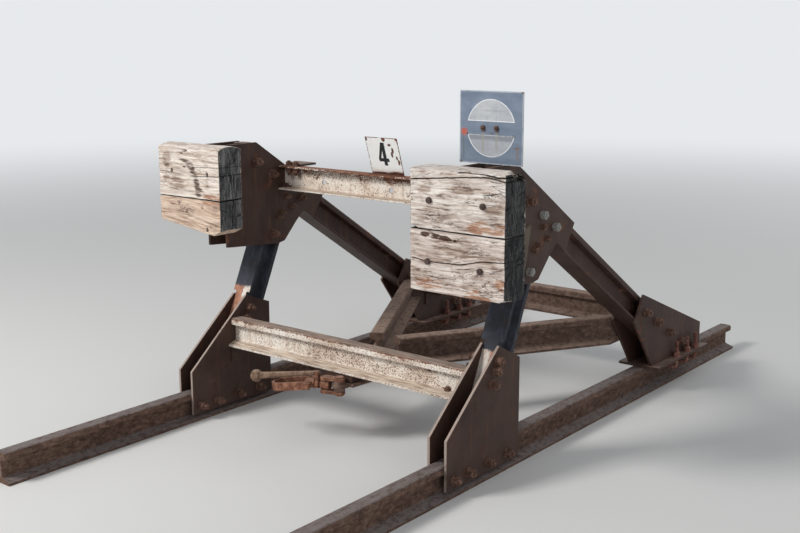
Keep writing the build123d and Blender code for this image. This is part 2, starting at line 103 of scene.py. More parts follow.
class Finish(Nodes):
    """One procedural material, built up node by node."""

    def __init__(self, name, roughness=0.8, specular=0.3, along_fibres=False):
        self.material = bpy.data.materials.new(name)
        super().__init__(self.material)
        self.shader = self.tree.nodes["Principled BSDF"]
        self.put(self.shader.inputs["Roughness"], roughness)
        self.put(self.shader.inputs["Specular IOR Level"], specular)
        self.place = self.add("TexCoord").outputs["Object"]
        self.where = self.place
        if along_fibres:
            self.where = self.add("Attribute", attribute_name="fibre").outputs["Vector"]

    def noise(self, scale, detail=5.0, rough=0.6, warp=0.0, stretch=(1, 1, 1), shift=(0, 0, 0)):
        place = self.wire("Mapping", {"Vector": self.where, "Scale": stretch, "Location": shift}, "Vector")
        inputs = {"Vector": place, "Scale": scale, "Detail": detail, "Roughness": rough, "Distortion": warp}
        return self.wire("TexNoise", inputs, "Fac")

    def ramp(self, value, stops):
        """Colour ramp with stops of (place, colour)."""
        node = self.add("ValToRGB")
        bar = node.color_ramp
        while len(bar.elements) < len(stops):
            bar.elements.new(1.0)
        for element, (place, colour) in zip(bar.elements, stops):
            element.position = place
            element.color = (*colour, 1.0)
        self.put(node.inputs["Fac"], value)
        return node.outputs["Color"]

    def fade(self, value, low, high):
        """0 below low, 1 above high, smooth between."""
        ends = {"Value": value, "From Min": low, "From Max": high}
        return self.wire("MapRange", ends, "Result", interpolation_type="SMOOTHSTEP")

    def calc(self, operation, first, second=0.0):
        return self.wire("Math", {0: first, 1: second}, "Value", operation=operation)

    def plus(self, first, second):
        return self.calc("ADD", first, second)

    def minus(self, first, second):
        return self.calc("SUBTRACT", first, second)

    def times(self, first, second):
        return self.calc("MULTIPLY", first, second)

    def either(self, first, second):
        return self.calc("MAXIMUM", first, second)

    def sway(self, texture, amount):
        """A texture's swing to both sides of its middle."""
        return self.times(self.minus(texture, 0.5), amount)

    def lines(self, value, level, thin, thick):
        """1 along the contour of a noise at one level."""
        off = self.calc("ABSOLUTE", self.minus(value, level))
        return self.fade(off, thick, thin)

    def mix(self, amount, under, over, share=None):
        """One colour over another by an amount, or by a share of it."""
        if share is not None:
            amount = self.times(amount, share)
        return self.wire("Mix", {0: amount, 6: under, 7: over}, 2, data_type="RGBA")

    def axes(self):
        node = self.add("SeparateXYZ")
        self.put(node.inputs[0], self.place)
        return node.outputs

    def facing(self, axis, low, high):
        """1 on faces whose own direction along an axis is past high, 0 before low."""
        normal = self.wire("NewGeometry", {}, "True Normal")
        return self.fade(self.wire("SeparateXYZ", {0: normal}, "XYZ".index(axis)), low, high)

    def attribute(self, name):
        return self.add("Attribute", attribute_name=name).outputs["Fac"]

    def edges(self, radius, low, high):
        """1 along outside edges, from how far a rounded normal leans."""
        rounded = self.wire("Bevel", {"Radius": radius}, "Normal", samples=4)
        normal = self.wire("NewGeometry", {}, "Normal")
        dot = self.wire("VectorMath", {0: rounded, 1: normal}, "Value", operation="DOT_PRODUCT")
        return self.fade(self.minus(1.0, dot), low, high)

    def done(self, colour, rough, relief, rounding=0.0):
        """Finish with a roughness of (least, mask, more under the mask), relief in millimetres
        as (mask, height), and edges rounded by some millimetres."""
        least, mask, more = rough
        self.put(self.shader.inputs["Base Color"], colour)
        self.put(self.shader.inputs["Roughness"], self.plus(least, self.times(mask, more)))
        height = None
        for value, millimetres in relief:
            layer = self.times(value, millimetres * MM)
            height = layer if height is None else self.plus(height, layer)
        bump = {"Height": height, "Distance": 1.0}
        if rounding:
            bump["Normal"] = self.wire("Bevel", {"Radius": rounding * MM}, "Normal", samples=4)
        self.put(self.shader.inputs["Normal"], self.wire("Bump", bump, "Normal"))
        return self.material


def rust_colour(f, dark, middle, light, scale=14.0, stretch=(1, 1, 1)):
    blotch = f.noise(scale, 8, 0.68, stretch=stretch)
    return f.ramp(blotch, [(0.32, dark), (0.50, middle), (0.68, light)])


def weathered_timber(name, tint=(1, 1, 1), end_painted_shade=1.0, checks=0.7):
    """Silver-grey oak whose fibres, checks and stains follow the cracks of the baulk."""
    f = Finish(name, specular=0.15, along_fibres=True)

    def tinted(*colour):
        return tuple(part * shade for part, shade in zip(colour, tint))

    def end_in_shade(*colour):
        return tuple(part * end_painted_shade for part in colour)

    fine = f.noise(1.0, 4, 0.7, stretch=(16, 380, 380))
    grain = f.noise(1.0, 7, 0.68, 0.35, stretch=(7, 95, 95))
    broad = f.noise(1.0, 4, 0.6, stretch=(4, 24, 24), shift=(3, 1, 7))
    blotch = f.noise(1.0, 6, 0.66, 0.5, stretch=(7, 15, 15), shift=(8, 2, 1))
    figure = f.noise(1.0, 2, 0.45, stretch=(3, 26, 26), shift=(5, 3, 2))
    crease = f.noise(1.0, 3, 0.55, 0.3, stretch=(6, 60, 60), shift=(1, 6, 4))
    torn = f.noise(1.0, 4, stretch=(12, 34, 34), shift=(7, 7, 1))
    pit = f.noise(1.0, 4, 0.7, 0.6, stretch=(75, 190, 190), shift=(2, 9, 4))

    wood = f.plus(f.times(grain, 0.78), f.times(fine, 0.22))
    colour = f.ramp(wood, [
        (0.33, tinted(0.26, 0.18, 0.14)), (0.41, tinted(0.56, 0.46, 0.40)),
        (0.49, tinted(0.80, 0.715, 0.65)), (0.60, tinted(0.97, 0.93, 0.885))])
    warm = f.ramp(wood, [
        (0.36, (0.12, 0.070, 0.048)), (0.48, (0.35, 0.245, 0.19)), (0.60, (0.68, 0.58, 0.51))])
    colour = f.mix(f.fade(blotch, 0.52, 0.66), colour, warm, 0.8)
    colour = f.mix(f.attribute("brown"), colour, warm, 0.85)
    ringed = f.calc("FRACT", f.times(figure, 12.0))
    colour = f.mix(f.lines(ringed, 0.5, 0.05, 0.30), colour, tinted(0.31, 0.235, 0.19), 0.24)
    colour = f.mix(f.fade(broad, 0.50, 0.38), colour, tinted(0.45, 0.37, 0.33), 0.30)
    rusty = f.ramp(wood, [
        (0.38, (0.17, 0.07, 0.04)), (0.50, (0.42, 0.205, 0.12)), (0.64, (0.70, 0.50, 0.38))])
    colour = f.mix(f.attribute("orange"), colour, rusty)
    # fine checks and pits, darkened with painted shade inside them
    shaded_check = f.times(f.lines(crease, 0.5, 0.008, 0.034), f.fade(torn, 0.50, 0.58))
    colour = f.mix(shaded_check, colour, (0.11, 0.068, 0.050), checks)
    pitted = f.plus(pit, f.times(f.attribute("speck"), 0.12))
    shaded_pit = f.fade(pitted, 0.66, 0.73)
    colour = f.mix(shaded_pit, colour, (0.105, 0.060, 0.044), 0.8)
    soot = f.ramp(wood, [(0.38, (0.020, 0.010, 0.007)), (0.62, (0.125, 0.062, 0.040))])
    colour = f.mix(f.attribute("stain"), colour, soot)

    sawn = f.noise(1.0, 6, 0.7, 0.6, stretch=(20, 150, 14))
    patch = f.noise(1.0, 5, 0.6, stretch=(9, 14, 9), shift=(4, 4, 9))
    growth = f.calc("SINE", f.plus(f.times(f.attribute("ring"), 1150.0), f.times(patch, 9.0)))
    face = f.plus(f.times(sawn, 0.7), f.times(patch, 0.3))
    # the sawn ends: grey end grain darkened with painted shade, a little blue, and darker still on ends
    # given a low end shade factor
    end = f.ramp(face, [
        (0.38, end_in_shade(0.018, 0.018, 0.020)), (0.49, end_in_shade(0.115, 0.118, 0.122)),
        (0.60, end_in_shade(0.34, 0.335, 0.33))])
    end = f.mix(f.fade(growth, 0.2, 0.9), end, (0.03, 0.03, 0.032), 0.28)
    colour = f.mix(f.attribute("end"), colour, end)
    # painted shade inside the cracks, splits, rot hollows, bolt holes and the joint between the baulks
    colour = f.mix(f.attribute("dark"), colour, (0.014, 0.010, 0.008))

    relief = [(fine, 0.7), (grain, 1.3), (shaded_check, -1.0), (shaded_pit, -0.9), (growth, 0.12)]
    return f.done(colour, (0.74, wood, 0.25), relief)


# Rust under the frame's paint, from dark to light
FRAME_RUST = ((0.050, 0.020, 0.013), (0.12, 0.052, 0.032), (0.22, 0.105, 0.065))


def painted_steel(name, paint, worn, coverage, edge_tone=None):
    """Old dark paint over rust, with bare rust where the cover is lost."""
    f = Finish(name, specular=0.3)
    bare_steel = rust_colour(f, *FRAME_RUST)
    film = f.noise(8.0, 10, 0.72, 0.6)
    run = f.noise(1.0, 6, 0.6, stretch=(26, 26, 2.6))
    fine = f.noise(200.0, 4, 0.7)
    coat = f.mix(f.fade(f.noise(3.4, 5), 0.35, 0.65), paint, worn)
    coat = f.mix(f.fade(run, 0.52, 0.72), coat, FRAME_RUST[1], 0.55)
    bare = f.fade(film, coverage, coverage + 0.09)
    edge = f.edges(4 * MM, 0.06, 0.4)
    bare = f.either(bare, f.times(edge, f.fade(film, 0.36, 0.50)))
    colour = f.mix(bare, coat, bare_steel)
    # paler on faces that look up
    paler_on_top = f.times(f.facing("Z", 0.35, 0.95), f.fade(film, 0.30, 0.62))
    colour = f.mix(paler_on_top, colour, (0.30, 0.205, 0.165), 0.75)
    if edge_tone:
        front = f.times(f.facing("Y", -0.45, -0.62), f.fade(film, 0.30, 0.46))
        colour = f.mix(front, colour, edge_tone, 0.85)
    colour = f.mix(f.fade(fine, 0.60, 0.74), colour, FRAME_RUST[2], 0.5)
    return f.done(colour, (0.58, bare, 0.3), [(bare, -0.35), (fine, 0.40), (film, 0.8)], 2.0)


# The posts' leaning front face: where it meets the ground, and its slope
POST_FACE_Y = -796.5 * MM
POST_SLOPE = 0.4494
# How far behind that face the white paint fades out into the painted shade of the sides
POST_LIT_DEPTH = (20 * MM, 30 * MM)


def post_paint_and_shadow(name, centre_x, shadow_line, white_side, white_from):
    """Painted shade above a painted shadow line: worn blue-black with a painted blue sky sheen. Below the
    line, chalky white over orange rust on the front face, with painted shade on the sides.
    """
    f = Finish(name, specular=0.35)
    x, y, z = f.axes()
    film = f.noise(15.0, 9, 0.72, 0.6, stretch=(1.4, 1.4, 0.5))
    fine = f.noise(170.0, 4, 0.7)
    streak = f.noise(1.0, 6, 0.65, stretch=(45, 45, 4))
    # painted shade with a painted blue sheen, for the part of the post in the blocks' shadow
    upper = f.ramp(film, [
        (0.34, (0.024, 0.020, 0.019)), (0.48, (0.024, 0.027, 0.038)), (0.66, (0.060, 0.066, 0.092))])
    upper = f.mix(f.fade(streak, 0.54, 0.70), upper, (0.060, 0.036, 0.028), 0.6)
    orange = rust_colour(f, (0.16, 0.062, 0.035), (0.42, 0.19, 0.115), (0.62, 0.36, 0.25), scale=22.0)
    chalk = f.ramp(film, [
        (0.36, (0.52, 0.40, 0.32)), (0.50, (0.74, 0.66, 0.59)), (0.62, (0.84, 0.80, 0.75))])
    across = f.times(f.minus(x, centre_x), white_side)
    white = f.fade(f.plus(across, f.sway(film, 0.16)), white_from, white_from + 10 * MM)
    lower = f.mix(white, orange, chalk)
    lower = f.mix(f.fade(fine, 0.60, 0.68), lower, (0.20, 0.10, 0.065))
    edge = f.plus(z, f.sway(film, 0.10))
    behind = f.minus(f.minus(y, f.times(z, POST_SLOPE)), POST_FACE_Y)
    near, far = POST_LIT_DEPTH
    front = f.times(f.facing("Y", -0.45, -0.65), f.fade(behind, far, near))
    # 1 on the lit front below the painted shadow line; above it and on the sides the painted shade is used
    lit_front = f.times(f.fade(edge, shadow_line + 7 * MM, shadow_line - 7 * MM), front)
    colour = f.mix(lit_front, upper, lower)
    return f.done(colour, (0.50, film, 0.3), [(film, 1.0), (fine, 0.4)], 2.5)


# Rust drips under the flange bolts: half widths, and where they fade out below the top
DRIP_HALF = (7 * MM, 17 * MM)
DRIP_DOWN = (40 * MM, 88 * MM)


def cream_steel(name, low, high, rust_head, pepper_level, top_tone, drips=()):
    """Cream paint on a beam, peppered with rust and lost from its upper parts, where the rust under the
    upper beam's flange also stands for the flange's painted shadow.
    """
    f = Finish(name, specular=0.25)
    x, _, z = f.axes()
    rise = f.calc("DIVIDE", f.minus(z, low), high - low)
    pepper = f.noise(165.0, 3, 0.65)
    flake = f.noise(30.0, 9, 0.74, 0.4, stretch=(0.7, 1, 1))
    cloud = f.noise(7.0, 6, 0.66, stretch=(0.6, 1, 1))
    run = f.noise(1.0, 6, 0.65, stretch=(42, 42, 4))
    film = f.ramp(cloud, [
        (0.34, (0.72, 0.60, 0.49)), (0.50, (0.88, 0.79, 0.69)), (0.66, (0.95, 0.91, 0.84))])
    film = f.mix(f.fade(run, 0.50, 0.70), film, (0.45, 0.27, 0.18), 0.45)
    rust = rust_colour(f, (0.075, 0.032, 0.022), (0.19, 0.088, 0.055), (0.36, 0.19, 0.125), scale=34.0)
    # more rust towards the top; under the upper beam's flange this band is partly rust and partly the
    # flange's painted shadow
    upper = f.times(f.fade(rise, rust_head, 0.98), 0.13)
    density = f.plus(upper, f.times(f.fade(cloud, 0.62, 0.38), 0.05))
    bare = f.fade(f.plus(pepper, density), pepper_level, pepper_level + 0.06)
    bare = f.either(bare, f.fade(f.plus(flake, density), 0.625, 0.665))
    bare = f.either(bare, f.times(f.edges(4 * MM, 0.05, 0.35), f.fade(flake, 0.36, 0.48)))
    off_centre = f.plus(f.calc("ABSOLUTE", x), f.sway(flake, 0.06))
    for centre in drips:
        hanging = f.fade(z, high - DRIP_DOWN[1], high - DRIP_DOWN[0])
        drip = f.times(f.lines(off_centre, centre * MM, *DRIP_HALF), hanging)
        bare = f.either(bare, f.times(drip, 0.85))
    colour = f.mix(bare, film, rust)
    worn_top = f.noise(1.0, 7, 0.7, stretch=(9, 95, 95))
    top = f.ramp(worn_top, [
        (0.34, tuple(0.45 * v for v in top_tone)), (0.50, top_tone),
        (0.66, tuple(min(1.0, 1.6 * v) for v in top_tone))])
    foot = f.ramp(worn_top, [
        (0.38, (0.30, 0.20, 0.145)), (0.50, (0.60, 0.48, 0.38)), (0.62, (0.80, 0.70, 0.58))])
    top = f.mix(f.fade(rise, 0.4, 0.6), foot, top)
    colour = f.mix(f.facing("Z", 0.6, 0.9), colour, top, 0.92)
    colour = f.mix(f.facing("Z", -0.5, -0.8), colour, rust, 0.85)
    return f.done(colour, (0.62, bare, 0.3), [(bare, -0.5), (pepper, 0.5), (worn_top, 0.6)], 2.0)


def rusty_steel(name, dark, middle, light, top=None, stretch=(1, 1, 1), scale=30.0, rounding=1.5):
    """Scaly rust, paler on faces that look up: partly weathered rust, partly a painted highlight of the
    light on top.
    """
    f = Finish(name, specular=0.22)
    scab = f.noise(scale, 9, 0.72, 0.4, stretch=stretch)
    patch = f.noise(5.0, 4, stretch=stretch)
    fine = f.noise(240.0, 3, 0.7)
    tone = f.plus(f.times(scab, 0.82), f.times(patch, 0.18))
    colour = f.ramp(tone, [(0.36, dark), (0.50, middle), (0.64, light)])
    colour = f.mix(f.fade(fine, 0.50, 0.74), colour, light, 0.45)
    colour = f.mix(f.fade(fine, 0.44, 0.30), colour, dark, 0.45)
    # paler tops: partly weathering, partly a painted highlight
    if top is not None:
        top_wear_and_highlight = f.times(f.facing("Z", 0.5, 0.95), f.fade(scab, 0.28, 0.60))
        colour = f.mix(top_wear_and_highlight, colour, top, 0.9)
    return f.done(colour, (0.74, scab, 0.2), [(scab, 1.2), (fine, 0.35)], rounding)


def length(f, across, up):
    return f.calc("SQRT", f.plus(f.calc("POWER", across, 2.0), f.calc("POWER", up, 2.0)))


def blob(f, x, z, centre_x, centre_z, half_width, half_height, ragged):
    """1 inside a ragged oval on an upright sheet."""
    across = f.calc("DIVIDE", f.minus(x, centre_x), half_width)
    up = f.calc("DIVIDE", f.minus(z, centre_z), half_height)
    reach = f.plus(length(f, across, up), f.times(ragged, 0.9))
    return f.fade(reach, 1.75, 1.25)


# The signal board, in millimetres: its discs' centre below the top, their
# radius, half the band between them, and the width of the border
DISC_DOWN = 148
DISC_RADIUS = 116
BAND_HALF = 26.5
BORDER = (4, 5.5)
# Marks on it: along from the left, down from the top, half width, half height,
# colour and strength
SIGN_MARKS = [
    (19, 226, 5, 52, (0.145, 0.150, 0.155), 0.55),
    (22, 166, 15, 14, (0.52, 0.115, 0.065), 0.88),
    (38, 174, 4, 4, (0.04, 0.02, 0.015), 0.8),
    (278, 222, 9, 5, (0.22, 0.12, 0.09), 0.85),
    (280, 248, 6, 28, (0.25, 0.20, 0.175), 0.65),
    (115, 194, 6, 52, (0.36, 0.345, 0.27), 0.5),
    (180, 194, 6, 48, (0.36, 0.345, 0.27), 0.5),
    # under the two bolts: rust stain together with the bolts' painted shadow
    (115, 157, 12, 9, (0.09, 0.055, 0.045), 0.75),
    (181, 157, 11, 9, (0.09, 0.055, 0.045), 0.75),
    (158, 168, 5, 4, (0.10, 0.09, 0.09), 0.6),
    (262, 176, 8, 6, (0.14, 0.15, 0.16), 0.6),
    (165, 78, 55, 4, (0.36, 0.38, 0.40), 0.5),
    (3, 288, 12, 6, (0.13, 0.08, 0.06), 0.7),
    (301, 4, 6, 6, (0.16, 0.09, 0.06), 0.7),
]


def sign_enamel():
    """Grey-blue enamel with a thin border and two pale half discs."""
    f = Finish("sign_enamel", specular=0.4)
    x, _, z = f.axes()
    middle_x, middle_z = (sign_low.x + sign_high.x) / 2, sign_high.z - DISC_DOWN * MM
    cloud = f.noise(9.0, 7, 0.68, stretch=(1, 1, 2.2))
    ground = f.ramp(cloud, [
        (0.34, (0.155, 0.202, 0.277)), (0.50, (0.188, 0.240, 0.322)), (0.66, (0.23, 0.286, 0.375))])
    # how far each point is outside the two half discs
    up = f.minus(z, middle_z)
    gap = f.minus(length(f, f.minus(x, middle_x), up), DISC_RADIUS * MM)
    gap = f.either(gap, f.minus(BAND_HALF * MM, f.calc("ABSOLUTE", up)))
    bar = f.times(f.lines(z, middle_z, 20 * MM, 29 * MM), f.fade(gap, 8 * MM, 0.0))
    ground = f.mix(bar, ground, (0.165, 0.19, 0.235), 0.6)
    upper = f.ramp(cloud, [
        (0.36, (0.40, 0.43, 0.475)), (0.50, (0.48, 0.507, 0.545)), (0.62, (0.56, 0.58, 0.595))])
    lower = f.ramp(cloud, [
        (0.36, (0.385, 0.41, 0.455)), (0.50, (0.445, 0.472, 0.51)), (0.62, (0.51, 0.53, 0.555))])
    band = f.plus(z, f.sway(cloud, 0.03))
    lower = f.mix(f.fade(band, middle_z - 56 * MM, middle_z - 42 * MM), lower, (0.265, 0.29, 0.325))
    pale = f.mix(f.fade(z, middle_z + 5 * MM, middle_z - 5 * MM), upper, lower)
    colour = f.mix(f.fade(gap, 0.5 * MM, -0.5 * MM), ground, pale)
    wear = f.fade(f.noise(38.0, 6, 0.7), 0.66, 0.50)
    outline = f.times(f.fade(gap, -4.3 * MM, -3.4 * MM), f.fade(gap, 0.5 * MM, -0.3 * MM))
    under_edge = f.fade(z, middle_z - 32 * MM, middle_z - 28 * MM)
    under_edge = f.times(under_edge, f.fade(z, middle_z + 2 * MM, middle_z - 2 * MM))
    outline = f.times(outline, f.minus(1.0, f.times(under_edge, 0.65)))
    half_x, half_z = (sign_high.x - sign_low.x) / 2, (sign_high.z - sign_low.z) / 2
    edge_x = f.minus(half_x, f.calc("ABSOLUTE", f.minus(x, middle_x)))
    edge_z = f.minus(half_z, f.calc("ABSOLUTE", f.minus(z, sign_low.z + half_z)))
    border = f.times(f.fade(f.calc("MINIMUM", edge_x, edge_z), BORDER[1] * MM, BORDER[0] * MM), 0.42)
    colour = f.mix(f.times(f.either(outline, border), wear), colour, (0.80, 0.83, 0.86))
    ragged = f.noise(60.0, 5, 0.7)
    left, top = sign_low.x, sign_high.z
    for along, down, wide, tall, tone, strength in SIGN_MARKS:
        mark = blob(f, x, z, left + along * MM, top - down * MM, wide * MM, tall * MM, ragged)
        colour = f.mix(mark, colour, tone, strength)
    run = f.noise(1.0, 6, 0.65, stretch=(70, 70, 3))
    colour = f.mix(f.fade(run, 0.54, 0.76), colour, (0.22, 0.21, 0.20), 0.30)
    back = rust_colour(f, (0.085, 0.062, 0.055), (0.17, 0.145, 0.13), (0.27, 0.24, 0.22))
    colour = f.mix(f.facing("Y", -0.4, -0.6), back, colour)
    return f.done(colour, (0.42, run, 0.25), [(f.noise(300.0, 2), 0.05), (cloud, 0.5)])


PLATE_LEAN = radians(18)
# Chips in the plate's enamel: along, up, half width and half height, in millimetres
PLATE_CHIPS = [
    (108, 178, 10, 11), (137, 151, 9, 6), (151, 124, 6, 13), (143, 104, 6, 12), (168, 88, 5, 9),
    (176, 67, 6, 13), (5, 176, 7, 9), (186, 180, 10, 7), (186, 3, 16, 14), (60, 0, 70, 12),
    (150, 0, 55, 17), (150, 186, 60, 3), (40, 186, 40, 3)]


def plate_enamel():
    """White enamel with a rusted foot and chips down to the steel."""
    f = Finish("plate_enamel", specular=0.45)
    x, _, z = f.axes()
    ragged = f.noise(110.0, 6, 0.7)
    white = f.mix(f.noise(8.0, 5), (0.93, 0.92, 0.89), (0.97, 0.97, 0.96))
    rust = rust_colour(f, (0.035, 0.013, 0.01), (0.12, 0.040, 0.024), (0.26, 0.10, 0.06), scale=60.0)
    lost = f.fade(z, plate_low.z + 9 * MM, plate_low.z + 5 * MM)
    half = (plate_high.x - plate_low.x) / 2
    off_middle = f.calc("ABSOLUTE", f.minus(x, plate_low.x + half))
    rim = f.plus(off_middle, f.sway(ragged, 22 * MM))
    lost = f.either(lost, f.fade(rim, half - 3.5 * MM, half - 2 * MM))
    for along, up, wide, tall in PLATE_CHIPS:
        centre_z = plate_low.z + up * cos(PLATE_LEAN) * MM
        mark = blob(f, x, z, plate_low.x + along * MM, centre_z, wide * MM, tall * MM, ragged)
        lost = f.either(lost, mark)
    stain = f.times(f.fade(z, plate_low.z + 40 * MM, plate_low.z + 6 * MM), f.fade(ragged, 0.40, 0.62))
    halo = f.times(f.fade(f.noise(22.0, 6, 0.7), 0.62, 0.78), 0.3)
    colour = f.mix(f.either(halo, f.times(stain, 0.6)), white, (0.60, 0.42, 0.27))
    colour = f.mix(lost, colour, rust)
    back = f.ramp(ragged, [
        (0.40, (0.10, 0.055, 0.040)), (0.50, (0.19, 0.155, 0.14)), (0.62, (0.27, 0.245, 0.23))])
    colour = f.mix(f.facing("Y", 0.4, 0.6), colour, back)
    return f.done(colour, (0.3, lost, 0.55), [(lost, -0.4)])


def digit_paint():
    f = Finish("digit_enamel", specular=0.4)
    chipped = f.noise(70.0, 6, 0.7)
    worn = f.fade(chipped, 0.62, 0.68)
    colour = f.mix(worn, (0.010, 0.012, 0.012), (0.10, 0.045, 0.030))
    return f.done(colour, (0.35, worn, 0.5), [(worn, -0.2)])


# Bolts through the ends of the upper beam's flange, across the track
FLANGE_BOLTS = [588, 634]
FRAME_PAINT = ((0.040, 0.020, 0.015), (0.070, 0.039, 0.030))
# the braces' pale top: partly weathering, partly a painted highlight
BRACE_TOP_AND_HIGHLIGHT = (0.33, 0.235, 0.185)
FINISHES = {
    "timber": weathered_timber("timber"),
    "frame_steel": painted_steel("dark_frame_paint", *FRAME_PAINT, 0.57),
    "post_steel": post_paint_and_shadow("post_paint_and_shadow_right", frame_x, 530 * MM, -1, -14 * MM),
    "cream_paint": cream_steel(
        "cream_upper_beam", beam_low.z, beam_high.z, 0.50, 0.595, (0.26, 0.120, 0.080), FLANGE_BOLTS),
    "brace_steel": rusty_steel(
        "rusty_brace", (0.055, 0.034, 0.026), (0.145, 0.090, 0.068), (0.26, 0.18, 0.145), BRACE_TOP_AND_HIGHLIGHT,
        (0.7, 0.7, 1), scale=48.0),
    "base_rail": rusty_steel(
        "rusty_rail", (0.045, 0.026, 0.020), (0.13, 0.078, 0.058), (0.24, 0.155, 0.115),
        # the last colour, a grey top, is a painted sky reflection
        (0.215, 0.190, 0.185), (1, 0.5, 1), scale=55.0),
    "coupling_rust": rusty_steel(
        "coupling_rust", (0.060, 0.026, 0.017), (0.20, 0.085, 0.052), (0.42, 0.215, 0.14),
        (0.36, 0.225, 0.165), scale=45.0, rounding=1.2),
    "sign_enamel": sign_enamel(),
    "white_enamel": plate_enamel(),
}
# Nodes whose look differs from the rest of their slot
OWN_FINISHES = {
    "front_post_left": post_paint_and_shadow("post_paint_and_shadow_left", -frame_x, 600 * MM, 1, 12 * MM),
    "lower_crossbeam": cream_steel(
        "cream_lower_beam", lower_beam_low.z, lower_beam_high.z, 0.9, 0.575, (0.32, 0.245, 0.20)),
    "coupling_lever": rusty_steel(
        "lever_rust", (0.075, 0.042, 0.028), (0.20, 0.125, 0.085), (0.34, 0.235, 0.165),
        (0.33, 0.24, 0.18), scale=45.0, rounding=1.0),
}
foot_plate_finish = painted_steel("foot_plate_paint", *FRAME_PAINT, 0.57, edge_tone=(0.46, 0.37, 0.32))
# paler olive-brown: painted light on this face and a painted green reflection
stiffener_paint_and_light = painted_steel("stiffener_paint_with_green_light", (0.085, 0.068, 0.048), (0.13, 0.105, 0.075), 0.60)
for side in SIDES:
    OWN_FINISHES[f"front_foot_plates_{side}"] = foot_plate_finish
    OWN_FINISHES[f"gusset_stiffener_{side}"] = stiffener_paint_and_light
# Rust on the fasteners, from dark to light, and how fine it is
BOLT_TONES = {
    "bolt_rust": ((0.045, 0.021, 0.015), (0.14, 0.076, 0.055), (0.30, 0.19, 0.145), 60.0),
    "dark_bolt": ((0.035, 0.022, 0.020), (0.085, 0.058, 0.052), (0.17, 0.125, 0.11), 80.0),
    "hook_rust": ((0.085, 0.033, 0.025), (0.24, 0.105, 0.082), (0.42, 0.235, 0.19), 60.0),
    "grey_bolt": ((0.12, 0.085, 0.065), (0.30, 0.295, 0.275), (0.46, 0.46, 0.44), 50.0),
}
BOLT_FINISHES = {
    name: rusty_steel(name, *tones, scale=scale, rounding=0.8)
    for name, (*tones, scale) in BOLT_TONES.items()}


def dress_nodes():
    """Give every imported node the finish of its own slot, or its own one."""
    slots = {s["node"]: s["material_slot"] for s in frame["record"]["subparts"]}
    for name, piece in frame["nodes"].items():
        piece.data.materials.clear()
        piece.data.materials.append(OWN_FINISHES.get(name, FINISHES[slots[name]]))


def add_object(name, data):
    thing = bpy.data.objects.new(name, data)
    bpy.context.scene.collection.objects.link(thing)
    return thing


def new_piece(name, verts, faces, finish, smooth=True):
    mesh = bpy.data.meshes.new(name)
    mesh.from_pydata([tuple(v) for v in verts], [], [tuple(int(i) for i in f) for f in faces])
    mesh.validate()
    mesh.materials.append(finish)
    mesh.polygons.foreach_set("use_smooth", [smooth] * len(mesh.polygons))
    piece = add_object(name, mesh)
    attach(piece, "root")
    return piece


def shell_grid(nx, ny, nz):
    """Points from 0 to 1 on the six sides of a box, and the quads between them."""
    ids = np.full((nx + 1, ny + 1, nz + 1), -1)
    skin = np.zeros(ids.shape, bool)
    skin[[0, -1], :, :] = True
    skin[:, [0, -1], :] = True
    skin[:, :, [0, -1]] = True
    ids[skin] = np.arange(skin.sum())
    points = np.argwhere(skin) / np.array([nx, ny, nz])
    quads = []
    for sheet, flip in (
        (ids[0], True), (ids[-1], False), (ids[:, 0], False),
        (ids[:, -1], True), (ids[:, :, 0], True), (ids[:, :, -1], False),
    ):
        a, b, c, d = sheet[:-1, :-1], sheet[1:, :-1], sheet[1:, 1:], sheet[:-1, 1:]
        ring = (d, c, b, a) if flip else (a, b, c, d)
        quads.append(np.stack(ring, -1).reshape(-1, 4))
    return points, np.concatenate(quads)


def field(points, scale, octaves, shift):
    """Fractal noise at each point, about -1 to 1."""
    offset = Vector((shift, shift * 0.37, shift * 1.7))
    scaled = points * np.array(scale)
    return np.array([noise.fractal(Vector(p) + offset, 0.9, 2.0, octaves) for p in scaled])
